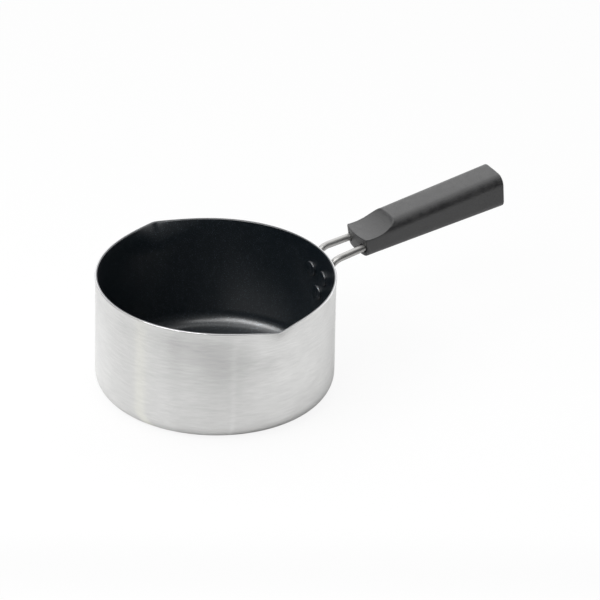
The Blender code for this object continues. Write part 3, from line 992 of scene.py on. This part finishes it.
def studio_world():
    """A dark room with a bright wall and ceiling at the back; white to the camera itself."""
    world = bpy.data.worlds.new("studio")
    bpy.context.scene.world = world
    world.use_nodes = True
    graph = Graph(world.node_tree)
    x, y, z = graph.split(graph.node("ShaderNodeTexCoord", {}, {}, "Generated"))
    level = (x * x + y * y) ** 0.5
    behind = (x * math.cos(BACK_WALL_AZIMUTH) + y * math.sin(BACK_WALL_AZIMUTH)) / level
    back_wall = graph.ramp(behind, *BACK_WALL_FADE)
    ceiling = graph.ramp(y, *CEILING_FADE) * (CEILING_LEVEL / BACK_WALL_LEVEL)
    light = back_wall + (ceiling - back_wall) * graph.ramp(z, *OVERHEAD_FADE)
    room = graph.mix(light, world_light(graph, ROOM_LEVEL), world_light(graph, BACK_WALL_LEVEL))
    camera_ray = graph.node("ShaderNodeLightPath", {}, {}, "Is Camera Ray")
    shown = graph.mix(camera_ray, room, world_light(graph, 1.0))
    graph.plug(world.node_tree.nodes["World Output"].inputs["Surface"], shown)


def beam(graph, x, y, azimuth):
    """How far a spot on the floor lies to the side of the one that the wall shows at an azimuth.

    The wall shows the camera a straight line of floor that starts at its foot. The answer is the
    angle round the wall from that line, in radians, and whether the spot lies in front of the wall.
    """
    foot = Vector((OUTER_RADIUS * math.cos(azimuth), OUTER_RADIUS * math.sin(azimuth)))
    turn = 2 * azimuth - (CAMERA_AZIMUTH - math.pi / 2)
    along = (x - foot.x) * math.cos(turn) + (y - foot.y) * math.sin(turn)
    aside = (y - foot.y) * math.cos(turn) - (x - foot.x) * math.sin(turn)
    return aside / (along * 2 + OUTER_RADIUS), graph.ramp(along, -WALL_FOOT_BLUR, 0.0)


def past(graph, x, y, azimuth, blur):
    """One where the wall shows the floor past an azimuth, and nothing before it."""
    aside, ahead = beam(graph, x, y, azimuth)
    return graph.ramp(aside, -blur, blur) * ahead


def streak(graph, x, y, azimuth, edges):
    """One where the wall shows the floor close to an azimuth, and nothing beside it."""
    aside, ahead = beam(graph, x, y, azimuth)
    outer, inner = edges
    return graph.ramp(aside, -outer, -inner) * graph.ramp(aside, outer, inner) * ahead


def floor_glow(graph, x, y, radius, glossy_ray):
    """Painted glow on the floor that only metal sees, for painted reflections in the wall: a pool to the
    right and two streaks.
    """
    from_pool = ((x - POOL_CENTRE.x) ** 2 + (y - POOL_CENTRE.y) ** 2) ** 0.5
    pool = graph.ramp(from_pool, POOL_INNER, POOL_OUTER, POOL_LEVEL, 0.0) * graph.ramp(radius, *POOL_FADE)
    left = streak(graph, x, y, LEFT_STREAK, LEFT_STREAK_EDGES) * LEFT_STREAK_LEVEL
    front = streak(graph, x, y, FRONT_STREAK, FRONT_STREAK_EDGES) * FRONT_STREAK_LEVEL
    pale = graph.blend((pool + front) * glossy_ray, grey(0.0), grey(1.0))
    return graph.blend(left * glossy_ray, pale, colour(*LEFT_STREAK_TINT))


def floor_dimming(graph, x, y, radius):
    """The share of the floor's own light that metal doesn't see, a painted shade in the wall's reflection
    of it.
    """
    dim = past(graph, x, y, DIM_FROM, DIM_BLUR) * DIM_SHARE
    dim = dim + past(graph, x, y, DIMMER_FROM, DIMMER_BLUR) * DIMMER_SHARE
    dim = dim * (1.0 - past(graph, x, y, DIM_TO, DIM_TO_BLUR) * DIM_TO_SHARE)
    dim = dim * (graph.ramp(radius, *FARTHEST_FADE) * FARTHEST_GAIN + NEAR_GAIN)
    far = graph.ramp(radius, *FAR_FADE)
    # A painted shadow round the pan's foot on its +X side, seen only by metal.
    under_right = (1.0 - graph.ramp(radius, *UNDER_PAN_FADE)) * graph.ramp(x, *UNDER_RIGHT_FADE)
    return dim + far * FAR_SHARE + under_right * UNDER_RIGHT_SHARE + EVEN_SHARE


def floor_finish(towards_camera):
    """White to the camera but for a faint shadow, pale to the pan, clear from below."""
    finish = Finish(
        "studio_floor", Roughness=FLOOR_ROUGHNESS, Specular_IOR_Level=0.0, Emission_Strength=1.0
    )
    x, y = finish.split(finish.place())[:2]
    radius = (x * x + y * y) ** 0.5
    reach = x * towards_camera.x + y * towards_camera.y
    beyond = finish.ramp(reach, TABLE_EDGE, TABLE_EDGE + TABLE_EDGE_BLUR)
    camera_ray = finish.node("ShaderNodeLightPath", {}, {}, "Is Camera Ray")
    glossy_ray = finish.node("ShaderNodeLightPath", {}, {}, "Is Glossy Ray")
    # Past the table's edge the floor is painted as dark as the room's light: painted shade that metal sees,
    # while the camera still sees white there.
    finish.set("Base Color", finish.blend(beyond, grey(FLOOR_WHITE), grey(ROOM_LEVEL)))
    finish.set("Emission Color", floor_glow(finish, x, y, radius, glossy_ray))

    lit = Signal(finish, finish.shader.outputs[0])
    white = finish.node("ShaderNodeEmission", {}, {"Color": grey(1.0)})
    black = finish.node("ShaderNodeEmission", {}, {"Color": grey(0.0)})
    clear = finish.node("ShaderNodeBsdfTransparent")
    whitened = camera_ray * (FLOOR_SHOWN_WHITE + beyond * (1 - FLOOR_SHOWN_WHITE))
    dimmed = glossy_ray * floor_dimming(finish, x, y, radius)
    below = finish.node("ShaderNodeNewGeometry", {}, {}, "Backfacing")
    surface = finish.mix(below, finish.mix(dimmed, finish.mix(whitened, lit, white), black), clear)
    finish.plug(finish.tree.nodes["Material Output"].inputs["Surface"], surface)
    return finish.material


def floor(towards_camera):
    """A pale table, painted dark past its edge on the camera's side, a painted shade that stands for the
    dark room.
    """
    mesh = bpy.data.meshes.new("studio_floor")
    shape = bmesh.new()
    bmesh.ops.create_grid(shape, x_segments=FLOOR_CELLS, y_segments=FLOOR_CELLS, size=FLOOR_HALF)
    shape.to_mesh(mesh)
    shape.free()
    obj = add_piece("studio_floor", mesh, floor_finish(towards_camera))
    obj.location.z = -FLOOR_GAP


def softbox(name, azimuth, elevation, distance, width, height, radiance):
    """A rectangular lamp that faces the pan, with an even face of a given radiance."""
    lamp = bpy.data.lights.new(name, "AREA")
    lamp.shape = "RECTANGLE"
    lamp.size = width
    lamp.size_y = height
    lamp.energy = radiance * math.pi * width * height
    obj = bpy.data.objects.new(name, lamp)
    bpy.context.scene.collection.objects.link(obj)
    level = math.cos(math.radians(elevation))
    turn = math.radians(azimuth)
    away = Vector((math.cos(turn) * level, math.sin(turn) * level, math.sin(math.radians(elevation))))
    obj.location = Vector((0, 0, HEIGHT / 2)) + away * distance
    obj.rotation_mode = "QUATERNION"
    obj.rotation_quaternion = (-away).to_track_quat("-Z", "Y")
    obj.visible_camera = False


def studio():
    towards_camera = camera()
    studio_world()
    floor(towards_camera)
    softbox("key_softbox", *KEY_SOFTBOX)
    softbox("right_softbox", *RIGHT_SOFTBOX)
    bpy.context.scene.view_settings.view_transform = "Standard"


def build():
    aluminium = brushed_aluminium()
    coat = black_coating("black_nonstick_coating", COAT_ROUGHNESS)
    head_finish = black_coating("coated_rivet_head", RIVET_HEAD_ROUGHNESS)
    tail_finish = rivet_tail()
    stainless = drawn_stainless()
    resin = black_phenolic()
    zinc = zinc_plate()

    upper_z = sum(corner.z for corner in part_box("rivet_upper_left")) / 2
    lower_z = sum(corner.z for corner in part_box("rivet_lower")) / 2
    rivets = {
        "rivet_upper_left": (LEG_ANGLE, upper_z),
        "rivet_upper_right": (-LEG_ANGLE, upper_z),
        "rivet_lower": (0.0, lower_z),
    }
    rivet_drills = [rivet_cutter(*spot) for spot in rivets.values()]
    leg_drills = [leg_cutter(side) for side in (1, -1)]
    grip_drills = [bore_cutter(side) for side in (1, -1)] + [screw_cutter(side) for side in (1, -1)]

    dress(shade(cut(vessel(aluminium), rivet_drills)), "body_metal", "pan_body")
    dress(shade(cut(coating(coat), rivet_drills)), "lining", "nonstick_lining")
    dress(shade(cut(handle_rod(stainless), rivet_drills + leg_drills)), "rod_steel", "handle_rod")
    dress(shade(cut(grip(resin), grip_drills)), "grip", "grip")
    for node, (angle, height) in rivets.items():
        dress(shade(rivet("coated_" + node, angle, height, head_finish, tail_finish)), "rivets", node)
    for node, side in (("grip_screw_left", 1), ("grip_screw_right", -1)):
        dress(shade(grip_screw("slotted_" + node, side, zinc)), "screws", node)
    discard(rivet_drills + leg_drills + grip_drills)


build()
studio()
